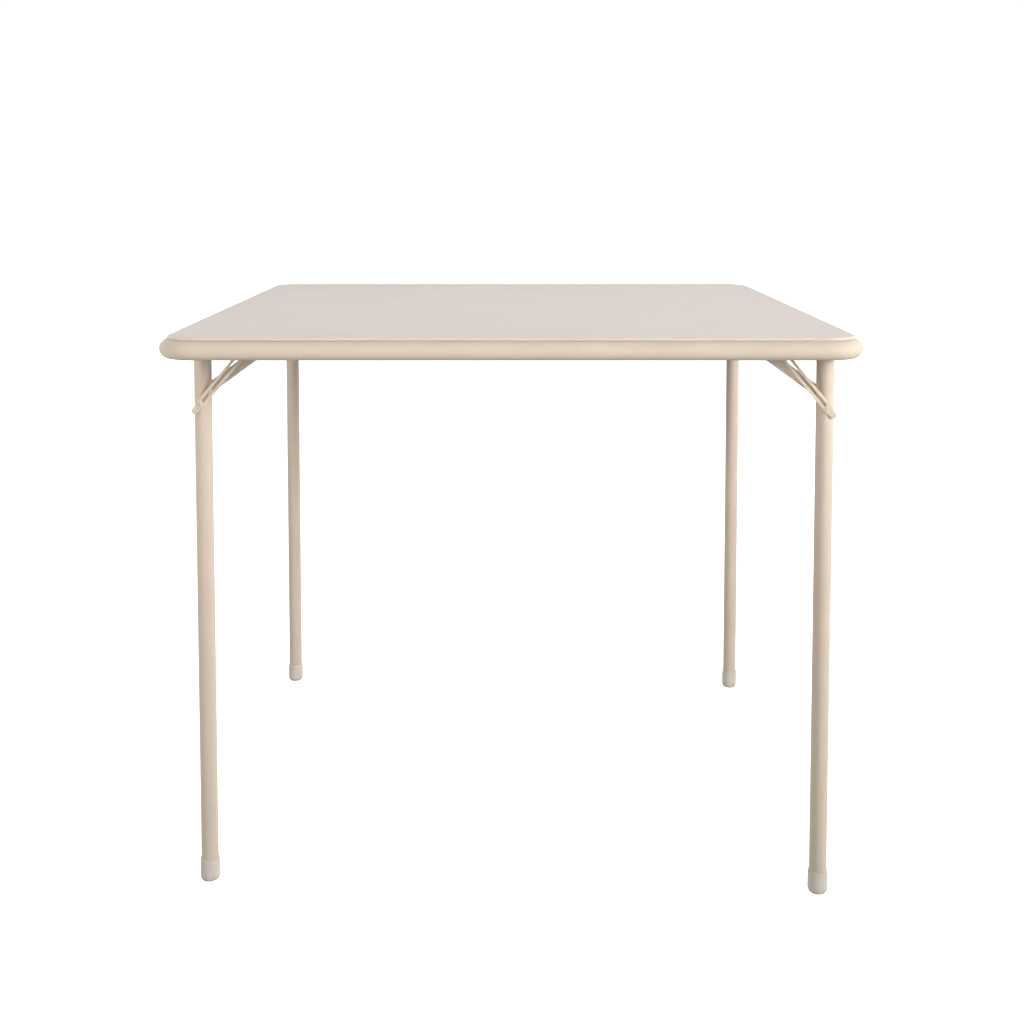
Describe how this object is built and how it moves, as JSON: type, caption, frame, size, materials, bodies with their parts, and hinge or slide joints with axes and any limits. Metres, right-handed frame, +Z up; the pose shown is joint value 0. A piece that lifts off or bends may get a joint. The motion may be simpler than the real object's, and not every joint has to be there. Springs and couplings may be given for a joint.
{
  "type": "folding card table",
  "caption": "Square folding card table with a flat vinyl panel on a round tube frame, folding tube legs with lock braces, and rounded foot caps.",
  "frame": {"origin": "on the floor, under the middle of the table top", "axes": "+Z up, -Y towards the viewer of the picture (front), +X to the viewer's right"},
  "size_m": [0.864, 0.864, 0.717],
  "materials": {
    "frame_paint": "warm beige powder coat, satin",
    "vinyl": "matte embossed vinyl, pale warm beige",
    "board": "raw hardboard",
    "foot_plastic": "moulded, satin",
    "zinc_screws": "bright zinc"
  },
  "bodies": {
    "table_top": {"frame_rail": "frame_paint", "frame_joint_sleeve": "frame_paint", "top_board": "board", "vinyl_cover": "vinyl", "panel_tabs": "frame_paint", "panel_screws": "zinc_screws", "hinge_bracket_front_right": "frame_paint", "hinge_pin_front_right": "frame_paint", "guide_bracket_front_right": "frame_paint", "guide_screws_front_right": "zinc_screws", "hinge_bracket_front_left": "frame_paint", "hinge_pin_front_left": "frame_paint", "guide_bracket_front_left": "frame_paint", "guide_screws_front_left": "zinc_screws", "hinge_bracket_back_left": "frame_paint", "hinge_pin_back_left": "frame_paint", "guide_bracket_back_left": "frame_paint", "guide_screws_back_left": "zinc_screws", "hinge_bracket_back_right": "frame_paint", "hinge_pin_back_right": "frame_paint", "guide_bracket_back_right": "frame_paint", "guide_screws_back_right": "zinc_screws"},
    "leg_front_right": {"leg_tube_front_right": "frame_paint", "foot_cap_front_right": "foot_plastic", "lock_brace_rivet_front_right": "frame_paint", "stay_link_rivet_front_right": "frame_paint"},
    "lock_brace_front_right": {"lock_brace_front_right": "frame_paint", "finger_tab_front_right": "frame_paint", "lock_brace_pin_front_right": "zinc_screws"},
    "stay_link_front_right": {"stay_link_front_right": "frame_paint", "stay_link_pin_front_right": "zinc_screws"},
    "leg_front_left": {"leg_tube_front_left": "frame_paint", "foot_cap_front_left": "foot_plastic", "lock_brace_rivet_front_left": "frame_paint", "stay_link_rivet_front_left": "frame_paint"},
    "lock_brace_front_left": {"lock_brace_front_left": "frame_paint", "finger_tab_front_left": "frame_paint", "lock_brace_pin_front_left": "zinc_screws"},
    "stay_link_front_left": {"stay_link_front_left": "frame_paint", "stay_link_pin_front_left": "zinc_screws"},
    "leg_back_left": {"leg_tube_back_left": "frame_paint", "foot_cap_back_left": "foot_plastic", "lock_brace_rivet_back_left": "frame_paint", "stay_link_rivet_back_left": "frame_paint"},
    "lock_brace_back_left": {"lock_brace_back_left": "frame_paint", "finger_tab_back_left": "frame_paint", "lock_brace_pin_back_left": "zinc_screws"},
    "stay_link_back_left": {"stay_link_back_left": "frame_paint", "stay_link_pin_back_left": "zinc_screws"},
    "leg_back_right": {"leg_tube_back_right": "frame_paint", "foot_cap_back_right": "foot_plastic", "lock_brace_rivet_back_right": "frame_paint", "stay_link_rivet_back_right": "frame_paint"},
    "lock_brace_back_right": {"lock_brace_back_right": "frame_paint", "finger_tab_back_right": "frame_paint", "lock_brace_pin_back_right": "zinc_screws"},
    "stay_link_back_right": {"stay_link_back_right": "frame_paint", "stay_link_pin_back_right": "zinc_screws"}
  },
  "joints": [
    {"name": "leg_fold_front_right", "type": "hinge", "parent": "table_top", "child": "leg_front_right", "pos_m": [0.391, -0.368, 0.6968], "axis": [0, 1, 0], "range_deg": [0, 90]},
    {"name": "lock_brace_turn_front_right", "type": "hinge", "parent": "leg_front_right", "child": "lock_brace_front_right", "pos_m": [0.391, -0.368, 0.625], "axis": [0, 1, 0], "range_deg": [-136.98, 0]},
    {"name": "stay_link_turn_front_right", "type": "hinge", "parent": "leg_front_right", "child": "stay_link_front_right", "pos_m": [0.391, -0.368, 0.6364], "axis": [0, 1, 0], "range_deg": [-123.95, 0]},
    {"name": "leg_fold_front_left", "type": "hinge", "parent": "table_top", "child": "leg_front_left", "pos_m": [-0.391, -0.336, 0.6968], "axis": [0, -1, 0], "range_deg": [0, 90]},
    {"name": "lock_brace_turn_front_left", "type": "hinge", "parent": "leg_front_left", "child": "lock_brace_front_left", "pos_m": [-0.391, -0.336, 0.625], "axis": [0, -1, 0], "range_deg": [-136.98, 0]},
    {"name": "stay_link_turn_front_left", "type": "hinge", "parent": "leg_front_left", "child": "stay_link_front_left", "pos_m": [-0.391, -0.336, 0.6364], "axis": [0, -1, 0], "range_deg": [-123.95, 0]},
    {"name": "leg_fold_back_left", "type": "hinge", "parent": "table_top", "child": "leg_back_left", "pos_m": [-0.391, 0.368, 0.6968], "axis": [0, -1, 0], "range_deg": [0, 90]},
    {"name": "lock_brace_turn_back_left", "type": "hinge", "parent": "leg_back_left", "child": "lock_brace_back_left", "pos_m": [-0.391, 0.368, 0.625], "axis": [0, -1, 0], "range_deg": [-136.98, 0]},
    {"name": "stay_link_turn_back_left", "type": "hinge", "parent": "leg_back_left", "child": "stay_link_back_left", "pos_m": [-0.391, 0.368, 0.6364], "axis": [0, -1, 0], "range_deg": [-123.95, 0]},
    {"name": "leg_fold_back_right", "type": "hinge", "parent": "table_top", "child": "leg_back_right", "pos_m": [0.391, 0.336, 0.6968], "axis": [0, 1, 0], "range_deg": [0, 90]},
    {"name": "lock_brace_turn_back_right", "type": "hinge", "parent": "leg_back_right", "child": "lock_brace_back_right", "pos_m": [0.391, 0.336, 0.625], "axis": [0, 1, 0], "range_deg": [-136.98, 0]},
    {"name": "stay_link_turn_back_right", "type": "hinge", "parent": "leg_back_right", "child": "stay_link_back_right", "pos_m": [0.391, 0.336, 0.6364], "axis": [0, 1, 0], "range_deg": [-123.95, 0]}
  ],
  "couplings": [
    {"joint": "lock_brace_turn_front_right", "follows": "leg_fold_front_right", "ratio": -1.5214},
    {"joint": "stay_link_turn_front_right", "follows": "leg_fold_front_right", "ratio": -1.3767},
    {"joint": "lock_brace_turn_front_left", "follows": "leg_fold_front_left", "ratio": -1.5214},
    {"joint": "stay_link_turn_front_left", "follows": "leg_fold_front_left", "ratio": -1.3767},
    {"joint": "lock_brace_turn_back_left", "follows": "leg_fold_back_left", "ratio": -1.5214},
    {"joint": "stay_link_turn_back_left", "follows": "leg_fold_back_left", "ratio": -1.3767},
    {"joint": "lock_brace_turn_back_right", "follows": "leg_fold_back_right", "ratio": -1.5214},
    {"joint": "stay_link_turn_back_right", "follows": "leg_fold_back_right", "ratio": -1.3767}
  ]
}
